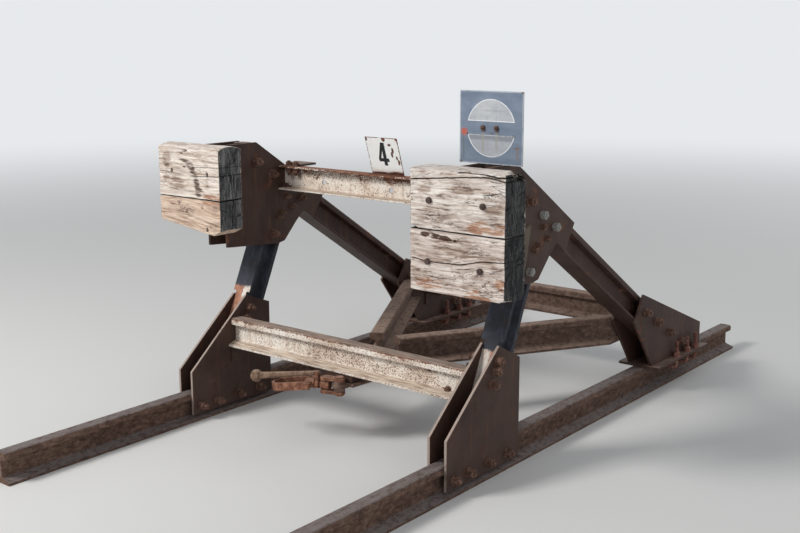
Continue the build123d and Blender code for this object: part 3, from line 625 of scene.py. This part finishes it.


# Timber blocks, in millimetres along the baulk and down from its own top.
# A crack is (points, half width, depth); a top crack runs along and back from
# the buffing face; an oval is (along, down, half width, half height); a loss
# is (along, back, down, its three half sizes, how dark it is, partly rot and partly painted shade).
# The end shade factor darkens each block's sawn ends with painted shade, most on the right blocks.
BAULKS = {
    "upper_buffer_block_right": dict(
        seed=3.0, tint=(1.0, 1.0, 1.0), end_painted_shade=0.42, checks=0.75, joint=252, joint_half=8,
        cracks=[
            ([(-10, 49), (5, 48), (149, 35), (281, 23), (376, 17), (460, 31), (470, 33)], 2.8, 15),
            ([(352, 86), (402, 80), (427, 73), (456, 82)], 1.8, 5),
            ([(377, 51), (420, 45), (456, 40)], 1.3, 3),
            ([(300, 190), (380, 196), (452, 186)], 1.4, 3),
            ([(20, 176), (90, 186), (190, 179)], 1.3, 3),
            ([(232, 8), (274, 4), (311, 4), (357, 6), (417, 15), (470, 13)], 4.0, 11)],
        top_cracks=[([(232, 32), (274, 18), (311, 20), (357, 27), (417, 73), (470, 62)], 3.4, 15)],
        orange=[(366, 212, 96, 26), (430, 200, 34, 18), (70, 60, 24, 10)],
        stain=[(282, 2, 20, 5)],
        speck=[(120, 190, 80, 36), (400, 90, 55, 26), (250, 60, 60, 20)],
        brown=[
            (110, 196, 92, 40), (260, 76, 80, 18), (70, 84, 36, 24), (400, 140, 60, 26),
            (250, 222, 60, 14)],
        losses=[(459, 142, 0, 62, 88, 40, 0.9), (0, 0, 242, 34, 40, 13, 0.25)],
    ),
    "lower_buffer_block_right": dict(
        seed=11.0, tint=(0.92, 0.885, 0.875), end_painted_shade=0.34, checks=0.75, joint=-2, joint_half=5,
        cracks=[
            ([(-10, 122), (5, 122), (68, 129), (151, 130), (252, 125), (349, 102), (457, 94), (470, 94)],
             2.4, 12),
            ([(240, 143), (330, 136), (400, 140)], 1.2, 3),
            ([(60, 186), (150, 192), (220, 188)], 1.3, 3),
            ([(150, 62), (260, 72), (380, 60)], 1.1, 2)],
        top_cracks=[],
        orange=[(84, 217, 74, 24), (350, 246, 80, 12), (300, 226, 46, 10), (440, 180, 24, 30)],
        stain=[(78, 21, 24, 9), (122, 24, 28, 10), (176, 28, 42, 9), (238, 32, 30, 7)],
        speck=[(335, 68, 90, 26), (275, 168, 110, 42), (400, 200, 70, 40), (120, 196, 70, 16)],
        brown=[
            (215, 52, 110, 38), (330, 90, 120, 26), (150, 108, 110, 20), (250, 200, 120, 34),
            (60, 180, 60, 26)],
        losses=[(459, 20, 254, 40, 30, 16, 0.2)],
    ),
    "upper_buffer_block_left": dict(
        seed=23.0, tint=(1.0, 0.98, 0.95), end_painted_shade=1.0, checks=0.35, joint=253, joint_half=4,
        cracks=[
            ([(-10, 134), (34, 133), (110, 139), (152, 141)], 1.4, 5),
            ([(240, 104), (340, 99), (440, 97)], 1.4, 5),
            ([(252, 147), (340, 141), (440, 135)], 2.0, 8),
            ([(30, 206), (120, 214), (240, 218)], 1.2, 3)],
        top_cracks=[],
        orange=[(372, 236, 76, 12)],
        stain=[(190, 28, 18, 5), (168, 42, 10, 4), (184, 106, 8, 5)],
        speck=[(58, 72, 36, 44), (56, 172, 34, 24), (140, 168, 34, 14), (190, 30, 40, 14)],
        brown=[(120, 190, 90, 30), (66, 62, 34, 34), (56, 172, 30, 24), (60, 104, 26, 18)],
        losses=[(427, 0, 0, 30, 14, 16, 0.1)],
    ),
    "lower_buffer_block_left": dict(
        seed=31.0, tint=(0.90, 0.775, 0.67), end_painted_shade=0.85, checks=0.3, joint=-1, joint_half=4,
        cracks=[
            ([(-10, 66), (33, 71), (214, 87), (387, 117), (440, 122)], 1.1, 3),
            ([(60, 108), (200, 118), (330, 142)], 1.0, 2)],
        top_cracks=[],
        orange=[(360, 14, 60, 9)],
        stain=[(139, 24, 5, 16), (190, 63, 8, 9), (300, 40, 5, 10)],
        speck=[(190, 60, 60, 24)],
        brown=[(180, 62, 80, 14)],
        losses=[],
    ),
}
# Dark bow-shaped stain on the upper left baulk: (along, down, half width)
BOW_LINE = [
    (138, 62, 4), (193, 78, 10), (224, 93, 15), (247, 126, 13), (266, 163, 12), (278, 204, 16),
    (283, 232, 13)]
BOW_STEPS = 12
# Empty bolt holes in the left blocks, (across the track, height)
LEFT_HOLES = [(-906.0, 1193.0), (-658.0, 1188.0), (-670.0, 928.0)]
HOLE_HALF_SIZE = (8.5, 11.0)
# Depths of the relief
HOLLOW_DEPTH = 2.6
STAIN_DEPTH = 3
SPLIT_DEPTH = 7
END_DEPTH = 8
HOLE_DEPTH = 18
ROT_DEPTH = 24
# A crack longer than this bends the fibres, over this distance
LONG_CRACK = 250
FLOW_REACH = 60
CRACK_TREMOR = 1.3
# Splits in the sawn ends, and how far the heart lies behind the face and above the middle
SPLITS = 5
SPLIT_HALF = 2.0
HEART = (0.42, 0.06)
# In metres: the corners' radius, its least, how far the top of the upper left
# baulk falls to its edges, and the worn underside of the lower left one
CORNER = 6 * MM
LEAST_CORNER = 2.5 * MM
CROWN = 16 * MM
WORN_LINE = [(-1.000, 0.949), (-0.624, 0.902), (-0.573, 0.928)]
GRID_STEP = (3.0 * MM, 3.5 * MM, 1.8 * MM)


def ovals(along, down, spots):
    """Soft ovals given as (along, down, half width, half height)."""
    total = np.zeros(len(along))
    for x0, z0, wide, tall in spots:
        reach = ((along - x0) / wide) ** 2 + ((down - z0) / tall) ** 2
        total = np.maximum(total, np.clip(1.3 - reach, 0, 1))
    return total


def path_height(path, along):
    return np.interp(along, [p[0] for p in path], [p[1] for p in path])


def crack_shape(path, half, along, down, tremor):
    """1 in the middle of a crack, 0 outside it, tapered where it ends inside the wood."""
    off = np.abs(down - path_height(path, along) - tremor)
    start, end = path[0][0], path[-1][0]
    taper = np.clip(np.minimum(along - start, end - along) / 30, 0, 1) ** 0.5
    return np.clip(1 - (off / (half * (0.4 + 0.6 * taper) + 0.01)) ** 2, 0, 1) * (taper > 0)


def bow_stain(along, down):
    """The bow: how near each point is to its line, in units of the local width."""
    total = np.zeros(len(along))
    last = len(BOW_LINE) - 1
    for place in np.linspace(0, last, last * BOW_STEPS, endpoint=False):
        x0, z0, half = (np.interp(place, range(last + 1), values) for values in zip(*BOW_LINE))
        reach = np.hypot((along - x0) / (1.6 * half), (down - z0) / half)
        total = np.maximum(total, np.clip(1.5 - reach, 0, 1))
    return total


def torn_mask(strength, texture, sharpness):
    """Soft ovals broken up by a texture, so that their edges are ragged."""
    return np.clip(sharpness * (strength - 0.45 + texture), 0, 1) * (strength > 0)


def fibre_flow(cracks, along, down, middle):
    """How far the fibres rise or fall to follow the long cracks."""
    flow, pull = np.zeros(len(along)), np.full(len(along), 1e-6)
    for path, _, _ in cracks:
        if path[-1][0] - path[0][0] > LONG_CRACK:
            level = path_height(path, middle)
            weight = np.exp(-((down - level) / FLOW_REACH) ** 2)
            flow += weight * (path_height(path, along) - level)
            pull += weight
    return flow / np.maximum(pull, 1.0)


class Relief:
    """How deep a baulk's surface is cut at each point, in metres, and how dark it is painted there, mostly
    as painted shade in the cut.
    """

    def __init__(self, depth):
        self.depth = depth
        self.dark = np.zeros(len(depth))

    def cut(self, shape, millimetres, shade):
        self.depth += shape * millimetres * MM
        self.dark = np.maximum(self.dark, shade)


def timber_baulk(node):
    """A sawn baulk with worn corners, checks, end splits and bolt holes."""
    spec = BAULKS[node]
    seed = spec["seed"]
    low, high = (np.array(v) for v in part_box(node))
    size = high - low
    unit, quads = shell_grid(*(round(s / step) for s, step in zip(size, GRID_STEP)))
    x = low[0] + unit[:, 0] * size[0]
    y = low[1] + unit[:, 1] * size[1]
    bottom = path_height(WORN_LINE, x) if node == "lower_buffer_block_left" else np.full(len(x), low[2])
    fall = CROWN if node == "upper_buffer_block_left" else 0
    top = high[2] - fall * (2 * unit[:, 1] - 1) ** 2
    z = bottom + unit[:, 2] * (top - bottom)
    points = np.stack([x, y, z], -1)

    # rounded corners, more worn in some places than in others
    wear = CORNER * (0.8 + 0.6 * field(points, (9, 9, 9), 3, seed))
    wear = np.clip(wear, LEAST_CORNER, 2.2 * CORNER)[:, None]
    near = np.stack([low[0] + 0 * x, low[1] + 0 * x, bottom], -1) + wear
    far = np.stack([high[0] + 0 * x, high[1] + 0 * x, top], -1) - wear
    core = np.clip(points, near, far)
    out = points - core
    out = out / np.maximum(np.linalg.norm(out, axis=1, keepdims=True), 1e-9)
    points = core + out * wear
    front, back = out[:, 1] < -0.5, out[:, 1] > 0.5
    ends, upper = np.abs(out[:, 0]) > 0.6, out[:, 2] > 0.6
    along, down, deep = (x - low[0]) / MM, (high[2] - z) / MM, (y - low[1]) / MM

    # fibres and long hollows, which bend with the long cracks
    flow = fibre_flow(spec["cracks"], along, down, 0.5 * size[0] / MM)
    fibre = np.stack([x, y, z + flow * MM], -1) + seed
    ribs = field(fibre, (7, 200, 200), 3, seed)
    waves = field(fibre, (6, 34, 34), 4, seed + 5)
    relief = Relief((0.7 + 0.6 * ribs) * MM + np.clip(waves, 0, 1) * HOLLOW_DEPTH * MM)

    # cracks along the sides, and along the top, with painted shade in them, darker in deeper cracks
    tremor = CRACK_TREMOR * field(np.stack([x, 0 * x, 0 * x], -1), (55, 1, 1), 3, seed + 2)
    for path, half, cut in spec["cracks"]:
        shape = crack_shape(path, half, along, down, tremor) * (front | back | ends)
        relief.cut(shape, cut, np.sqrt(shape) * np.clip(cut / 5, 0.55, 1))
    for path, half, cut in spec["top_cracks"]:
        shape = crack_shape(path, half, along, deep, 2 * tremor) * upper
        relief.cut(shape, cut, np.sqrt(shape))

    # the sawn ends: ragged layers, and a few splits out of the heart with painted shade in them
    plies = field(np.stack([x, y * 0.25, z], -1), (4, 12, 48), 3, seed + 4)
    relief.depth += ends * np.clip(plies + 0.15, 0, 1) * END_DEPTH * MM
    heart_y = low[1] + HEART[0] * size[1]
    heart_z = (low[2] + high[2]) / 2 + HEART[1] * size[2]
    angle = np.arctan2(z - heart_z, y - heart_y)
    radius = np.hypot(y - heart_y, z - heart_z)
    for bearing in np.random.default_rng(int(seed)).uniform(-pi, pi, SPLITS):
        bend = angle - bearing + 0.10 * np.sin(radius * 70 + seed)
        off = np.abs(np.angle(np.exp(1j * bend))) * radius
        split = np.clip(1 - (off / (SPLIT_HALF * MM)) ** 2, 0, 1) * np.clip((radius - 0.015) / 0.03, 0, 1)
        relief.cut(split * ends, SPLIT_DEPTH, 0.8 * split * ends)

    # rotted corners, bolt holes and the joint between the baulks, with painted shade in the holes and the
    # joint, and partly in the rotted hollows
    crumbs = field(points, (40, 40, 40), 3, seed + 7)
    for x0, y0, z0, rx, ry, rz, shade in spec["losses"]:
        lost = ((along - x0) / rx) ** 2 + ((deep - y0) / ry) ** 2 + ((down - z0) / rz) ** 2
        rot = np.clip(1.1 - lost + 0.5 * crumbs, 0, 1)
        relief.cut(rot, ROT_DEPTH, np.clip(rot * 1.4, 0, 1) * shade)
    if node.endswith("left"):
        wide, tall = HOLE_HALF_SIZE
        for hole_x, hole_z in LEFT_HOLES:
            reach = ((x / MM - hole_x) / wide) ** 2 + ((z / MM - hole_z) / tall) ** 2
            shape = np.clip(1 - reach ** 2, 0, 1) * front
            relief.cut(shape, HOLE_DEPTH, np.clip(2 * shape, 0, 0.92))
    # painted shade in the groove between the two baulks
    gap = np.clip(1.5 - np.abs(down - spec["joint"]) / spec["joint_half"], 0, 1)
    relief.dark = np.maximum(relief.dark, gap)

    # stains with ragged edges
    grit = field(fibre, (22, 120, 120), 4, seed + 12)
    mottle = field(fibre, (12, 48, 48), 4, seed + 14)

    def marks(kind, strength, texture, sharpness):
        return torn_mask(strength * ovals(along, down, spec[kind]), texture, sharpness)

    stain = marks("stain", 1.2, 2.4 * grit, 2.2) * front
    relief.depth += stain * STAIN_DEPTH * MM
    points = points - out * np.minimum(relief.depth, ROT_DEPTH * MM)[:, None]
    if node == "upper_buffer_block_left":
        bow = torn_mask(1.25 * bow_stain(along, down), 1.0 * grit + 0.35 * mottle, 1.0)
        stain = np.maximum(stain, 0.92 * bow * front)
    layers = {
        "dark": relief.dark,
        "stain": np.minimum(stain, 0.95),
        "orange": 0.9 * marks("orange", 1.15, 1.5 * grit + 0.6 * mottle, 1.7) * ~back,
        "speck": ovals(along, down, spec["speck"]) * ~back,
        "brown": 0.95 * marks("brown", 1.2, grit + mottle, 1.5) * ~back,
        "end": np.clip((np.abs(out[:, 0]) - 0.25) / 0.25, 0, 1),
        "ring": radius,
    }
    tone = weathered_timber("timber_" + node, spec["tint"], spec["end_painted_shade"], spec["checks"])
    piece = new_piece("timber_" + node.replace("_buffer_block", ""), points, quads, tone)
    for name, values in layers.items():
        layer = piece.data.attributes.new(name, "FLOAT", "POINT")
        layer.data.foreach_set("value", np.asarray(values, np.float32))
    layer = piece.data.attributes.new("fibre", "FLOAT_VECTOR", "POINT")
    layer.data.foreach_set("vector", np.asarray(fibre, np.float32).ravel())
    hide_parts(node)


WASHER_THICKNESS = 3.5 * MM
THREAD_PITCH = 2.5 * MM


class Fasteners:
    """Collects nuts, bolts and washers into one mesh."""

    def __init__(self):
        self.verts, self.faces = [], []

    def rings(self, start, count, corners):
        """Quads between rings of points, and caps on both ends."""
        for ring in range(count - 1):
            for i in range(corners):
                j = (i + 1) % corners
                a, b = start + ring * corners, start + (ring + 1) * corners
                self.faces.append((a + i, a + j, b + j, b + i))
        last = start + (count - 1) * corners
        self.faces.append(tuple(last + i for i in range(corners)))
        self.faces.append(tuple(start + i for i in reversed(range(corners))))

    def turn(self, profile, corners, centre, axis, spin=0.0, six_until=0):
        """Revolve (radius, height) pairs; the first six_until rings are hexagonal."""
        rotation = Vector(axis).normalized().to_track_quat("Z", "Y").to_matrix()
        start = len(self.verts)
        for ring, (radius, height) in enumerate(profile):
            for i in range(corners):
                angle = 2 * pi * i / corners + spin
                reach = radius
                if ring < six_until:
                    sector = (angle - spin) % (pi / 3) - pi / 6
                    reach = radius * cos(pi / 6) / cos(sector)
                point = rotation @ Vector((reach * cos(angle), reach * sin(angle), height))
                self.verts.append(Vector(centre) + point)
        self.rings(start, len(profile), corners)

    def rod(self, path, radius, corners=14):
        """Round bar along a path across the track."""
        points = [Vector(p) for p in path]
        start = len(self.verts)
        level = Vector((0, 1, 0))
        for i, point in enumerate(points):
            ahead = points[min(i + 1, len(points) - 1)] - points[max(i - 1, 0)]
            side = level.cross(ahead.normalized())
            for k in range(corners):
                angle = 2 * pi * k / corners
                self.verts.append(point + (level * sin(angle) + side * cos(angle)) * radius)
        self.rings(start, len(points), corners)

    def nut(self, centre, axis, across=36, height=26, shank=10, bolt=22, washer=46, spin=0.0):
        """Washer, chamfered hex nut and the bolt's threaded end, sizes in millimetres."""
        axis = Vector(axis).normalized()
        base = Vector(centre)
        thin, tall = WASHER_THICKNESS, height * MM
        radius = across / 2 / cos(pi / 6) * MM
        disc = washer / 2 * MM
        self.turn([(disc, 0), (disc, 0.8 * thin), (0.96 * disc, thin)], 24, base, axis)
        base = base + axis * thin
        body = [(radius, 0), (radius, 0.84 * tall), (0.93 * radius, 0.94 * tall), (0.84 * radius, tall)]
        self.turn(body, 24, base, axis, spin, 2)
        bar = bolt / 2 * MM
        thread = [(bar * 0.9, 0)]
        for i in range(int(shank * MM / THREAD_PITCH)):
            thread += [(bar, THREAD_PITCH * (i + 0.35)), (bar * 0.88, THREAD_PITCH * (i + 0.85))]
        thread += [(bar * 0.75, shank * MM)]
        self.turn(thread, 16, base + axis * tall * 0.98, axis)

    def head(self, centre, across, height, spin=0.0):
        """A worn round bolt head on a front face."""
        radius, tall = across / 2 * MM, height * MM
        body = [(1, 0), (1, 0.62), (0.93, 0.84), (0.76, 0.96), (0.45, 1)]
        self.turn([(wide * radius, up * tall) for wide, up in body], 24, centre, (0, -1, 0), spin)

    def piece(self, name, finish):
        new_piece(name, self.verts, self.faces, BOLT_FINISHES[finish], smooth=False)


# Bolts through each pair of plates: (distance behind the buffing face, height)
GUSSET_BOLTS = [(348, 1217), (450, 1147)]
PLATED_BOLTS = [(550, 1076), (653, 1012), (450, 847)]
GUSSET_RIVETS = [(554, 1025), (513, 950), (492, 932), (591, 971)]
FRONT_WEB_BOLTS = {
    "left": [(287, 496), (255, 447), (235, 400)],
    "right": [(258, 498), (243, 459), (222, 405)],
}
FOOT_BOLTS = [(-45, 72), (60, 72), (200, 72), (340, 72)]
REAR_BOLTS = [(1566, 450), (1692, 380), (1840, 292), (1990, 215)]
# A nut's height and its bolt's width, as shares of its width across flats
NUT_HEIGHT = 0.66
BOLT_WIDTH = 0.6
# How much longer a bolt's end is on the side towards the middle of the track
INNER_LENGTH = 10
# Hooked bolts that hold the rear sole plates down on the rails: distances
# behind the buffing face, place beside the rail's middle, radius, radius of
# the bend, height at which it starts, and place of the hook's tip
HOOK_BOLTS = [1900, 2028, 2132]
HOOK_OUT = 89
HOOK_RADIUS = 10
HOOK_BEND = 12
HOOK_HEIGHT = 104
HOOK_TIP = 22


def plate_nuts(bolts, side, out, ways, holes, across=36, shank=10, disc=1.28):
    """Nuts on the chosen faces of a pair of plates."""
    for i, (back, up) in enumerate(holes):
        for way in ways:
            place = spot(side * frame_x + way * out, back, up)
            end = shank + INNER_LENGTH * (way == -side)
            bolts.nut(place, (way, 0, 0), across, NUT_HEIGHT * across, end, BOLT_WIDTH * across,
                      disc * across, 0.37 * i + way)


def hook_bolt(hooks, side, way, back):
    """A nut on the sole plate, and a bar that bends in under the rail's head."""
    def place(out, up):
        return spot(side * frame_x + way * out * MM, back, up)

    top = sole_top / MM
    hooks.nut(place(HOOK_OUT, top), (0, 0, 1), 32, 24, 56, 21, 40, back + way)
    path = [(HOOK_OUT, top + 2)]
    for angle in np.linspace(0, pi / 2, 6):
        path.append((HOOK_OUT - HOOK_BEND + HOOK_BEND * cos(angle), HOOK_HEIGHT - HOOK_BEND * sin(angle)))
    path.append((HOOK_TIP, HOOK_HEIGHT - HOOK_BEND))
    hooks.rod([place(*p) for p in path], HOOK_RADIUS * MM)


def frame_bolts(name, side):
    """Nuts on both faces of the plates, and hooked bolts on the rear sole plate."""
    bolts = Fasteners()
    both = (-1, 1)
    plated = name == "right"
    plate_nuts(bolts, side, gusset_out, both, GUSSET_BOLTS)
    plate_nuts(bolts, side, gusset_out, (-side,) if plated else both, PLATED_BOLTS)
    plate_nuts(bolts, side, gusset_out, both, GUSSET_RIVETS, across=24, shank=5)
    plate_nuts(bolts, side, foot_out, both, FRONT_WEB_BOLTS[name] + FOOT_BOLTS)
    plate_nuts(bolts, side, gusset_out, both, REAR_BOLTS)
    bolts.piece(f"bolts_frame_{name}", "bolt_rust")
    if plated:
        pale = Fasteners()
        plate_nuts(pale, side, gusset_out, (side,), PLATED_BOLTS, across=33, shank=6, disc=1.08)
        pale.piece(f"bolts_gusset_outer_{name}", "grey_bolt")
    hooks = Fasteners()
    for back in HOOK_BOLTS:
        for way in both:
            hook_bolt(hooks, side, way, back)
    hooks.piece(f"hook_bolts_{name}", "hook_rust")


# Bolts through the right blocks, (across the track, height), millimetres
BLOCK_BOLTS = [(639, 1186), (896, 1184), (633, 940), (886, 931)]
BLOCK_HEAD = (26, 13)
# How deep the heads sit in the timber, and the thickness of the cleats
HEAD_SINK = 2.5
CLEAT_THICKNESS = 12


def block_bolts():
    """Round heads on the right blocks, and nuts behind the cleats."""
    heads, nuts = Fasteners(), Fasteners()
    for across, up in BLOCK_BOLTS:
        heads.head(spot(across * MM, HEAD_SINK, up), *BLOCK_HEAD, spin=across)
    for across, up in BLOCK_BOLTS + LEFT_HOLES[:2]:
        nuts.nut((across * MM, cleat_y + CLEAT_THICKNESS * MM, up * MM), (0, 1, 0), spin=up)
    heads.piece("bolt_heads_blocks", "dark_bolt")
    nuts.piece("bolt_nuts_blocks", "bolt_rust")


FLANGE_THICKNESS = 9.5
# The flange bolts' distance behind the buffing face
FLANGE_BOLT_BACK = 520
# The lower beam's bolt: across the track, behind the buffing face, height
FOOT_BOLT = (598, 193, 352)
# The sign's bolts: across from its middle, and down from its top
SIGN_BOLTS = (-37, 28)
SIGN_BOLT_DOWN = 146


def beam_bolts():
    """Bolts through the upper beam's flange, the lower beam's foot and the sign."""
    bolts = Fasteners()
    y = face_y + FLANGE_BOLT_BACK * MM
    for side in SIDES.values():
        for across in FLANGE_BOLTS:
            x = side * across * MM
            bolts.nut((x, y, beam_high.z), (0, 0, 1), 28, 17, 6, 18, 36, across)
            bolts.nut((x, y, beam_high.z - FLANGE_THICKNESS * MM), (0, 0, -1), 28, 20, 14, 18, 34, across)
    across, back, up = FOOT_BOLT
    bolts.head(spot(across * MM, back, up), 30, 16)
    bolts.piece("bolts_crossbeams", "bolt_rust")
    sign = Fasteners()
    for across in SIGN_BOLTS:
        x = (sign_low.x + sign_high.x) / 2 + across * MM
        sign.nut((x, sign_low.y, sign_high.z - SIGN_BOLT_DOWN * MM), (0, -1, 0), 15, 7, 5, 8, 19, across)
    sign.piece("bolts_sign", "bolt_rust")


PLATE_THICKNESS = 2 * MM
# Outline of the figure and of the opening in it, millimetres on the plate
FIGURE = [
    (86, 162), (107, 162), (107, 84), (120, 84), (120, 67), (107, 67), (107, 48), (88, 48), (88, 67),
    (60, 67), (60, 82)]
FIGURE_EYE = [(88, 84), (88, 122), (75, 84)]
# Its front stands a little in front of the plate, and its foot lies in the enamel
FIGURE_LIFTS = (0.35 * MM, -0.2 * MM)


def number_digit():
    """A plain black 4 on the leaning number plate."""
    out = Vector((0, -cos(PLATE_LEAN), -sin(PLATE_LEAN)))
    up = Vector((0, -sin(PLATE_LEAN), cos(PLATE_LEAN)))
    foot = Vector((plate_low.x, plate_high.y, plate_low.z)) + out * PLATE_THICKNESS
    bm = bmesh.new()
    edges = []
    for outline in (FIGURE, FIGURE_EYE):
        top, low = (
            [bm.verts.new(foot + Vector((x * MM, 0, 0)) + up * rise * MM + out * lift)
             for x, rise in outline]
            for lift in FIGURE_LIFTS)
        for i in range(len(outline)):
            j = (i + 1) % len(outline)
            edges.append(bm.edges.new((top[i], top[j])))
            bm.faces.new((top[i], top[j], low[j], low[i]))
    bmesh.ops.triangle_fill(bm, edges=edges, use_beauty=True)
    bmesh.ops.recalc_face_normals(bm, faces=bm.faces)
    mesh = bpy.data.meshes.new("digit")
    bm.to_mesh(mesh)
    bm.free()
    mesh.materials.append(digit_paint())
    digit = add_object("digit", mesh)
    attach(digit, "root")


# Camera worked out from the photograph: focal length in pixels at 800 wide
PHOTO_WIDTH = 800
FOCAL_PX = 1127.0
CAMERA_AT = (3300.0, -3501.0, 1829.0)
CAMERA_TURN = 38.74
CAMERA_DIP = 11.68
CAMERA_ROLL = -0.14


def set_camera():
    data = bpy.data.cameras.new("camera")
    data.sensor_width = 36.0
    data.lens = FOCAL_PX / PHOTO_WIDTH * data.sensor_width
    data.clip_end = 200.0
    camera = add_object("camera", data)
    turn = Matrix.Rotation(radians(CAMERA_TURN), 3, "Z")
    tilt = Matrix.Rotation(radians(90 - CAMERA_DIP), 3, "X")
    roll = Matrix.Rotation(radians(CAMERA_ROLL), 3, "Z")
    camera.rotation_euler = (turn @ tilt @ roll).to_euler()
    x, y, z = CAMERA_AT
    camera.location = spot(x * MM, y, z)
    bpy.context.scene.camera = camera


LIGHT_AIM = (0, 0, 0.7)


def area_light(name, place, size, watts, tint=(1, 1, 1)):
    data = bpy.data.lights.new(name, "AREA")
    data.size = size
    data.energy = watts
    data.color = tint
    lamp = add_object(name, data)
    lamp.location = place
    lamp.rotation_euler = (Vector(LIGHT_AIM) - Vector(place)).to_track_quat("-Z", "Y").to_euler()


FLOOR_HALF = 60.0
# Distances between which the floor turns into the backdrop
FLOOR_FADE = (3.0, 16.0)
FLOOR_TONE = (0.78, 0.78, 0.77)
BACKDROP_TONE = (0.80, 0.82, 0.84)
SKY_TONE = (0.93, 0.96, 1.0)
SKY_STRENGTH = 0.34


def seen_directly(nodes):
    """1 for rays that come straight from the camera or by a gloss."""
    path = nodes.add("LightPath").outputs
    rays = {0: path["Is Camera Ray"], 1: path["Is Glossy Ray"]}
    return nodes.wire("Math", rays, "Value", operation="MAXIMUM")


def set_floor():
    """A pale floor that keeps its tone into the distance."""
    mesh = bpy.data.meshes.new("floor")
    corners = [(x * FLOOR_HALF, y * FLOOR_HALF, 0) for x, y in ((-1, -1), (1, -1), (1, 1), (-1, 1))]
    mesh.from_pydata(corners, [], [(0, 1, 2, 3)])
    floor = add_object("floor", mesh)
    finish = Finish("floor", roughness=0.95, specular=0.1)
    finish.put(finish.shader.inputs["Base Color"], FLOOR_TONE)
    distance = finish.wire("VectorMath", {0: finish.place}, "Value", operation="LENGTH")
    share = finish.times(finish.fade(distance, *FLOOR_FADE), seen_directly(finish))
    glow = finish.wire("Emission", {"Color": BACKDROP_TONE}, "Emission")
    blend = finish.wire("MixShader", {0: share, 1: finish.shader.outputs["BSDF"], 2: glow}, "Shader")
    finish.put(finish.tree.nodes["Material Output"].inputs["Surface"], blend)
    mesh.materials.append(finish.material)


def set_studio():
    world = bpy.data.worlds.new("studio")
    nodes = Nodes(world)
    sky = nodes.tree.nodes["Background"]
    nodes.put(sky.inputs["Color"], SKY_TONE)
    nodes.put(sky.inputs["Strength"], SKY_STRENGTH)
    backdrop = nodes.wire("Background", {"Color": BACKDROP_TONE}, "Background")
    inputs = {0: seen_directly(nodes), 1: sky.outputs["Background"], 2: backdrop}
    blend = nodes.wire("MixShader", inputs, "Shader")
    nodes.put(nodes.tree.nodes["World Output"].inputs["Surface"], blend)
    bpy.context.scene.world = world
    area_light("key", (-3.5, -7.0, 6.5), 2.4, 560, (1.0, 0.98, 0.95))
    area_light("fill", (7.0, -4.0, 4.0), 5.0, 70)
    area_light("rim", (3.0, 8.0, 6.0), 4.0, 110)


set_camera()
set_floor()
set_studio()
dress_nodes()
for baulk in BAULKS:
    timber_baulk(baulk)
for name, side in SIDES.items():
    frame_bolts(name, side)
block_bolts()
beam_bolts()
number_digit()

bpy.context.scene.view_settings.view_transform = "Standard"
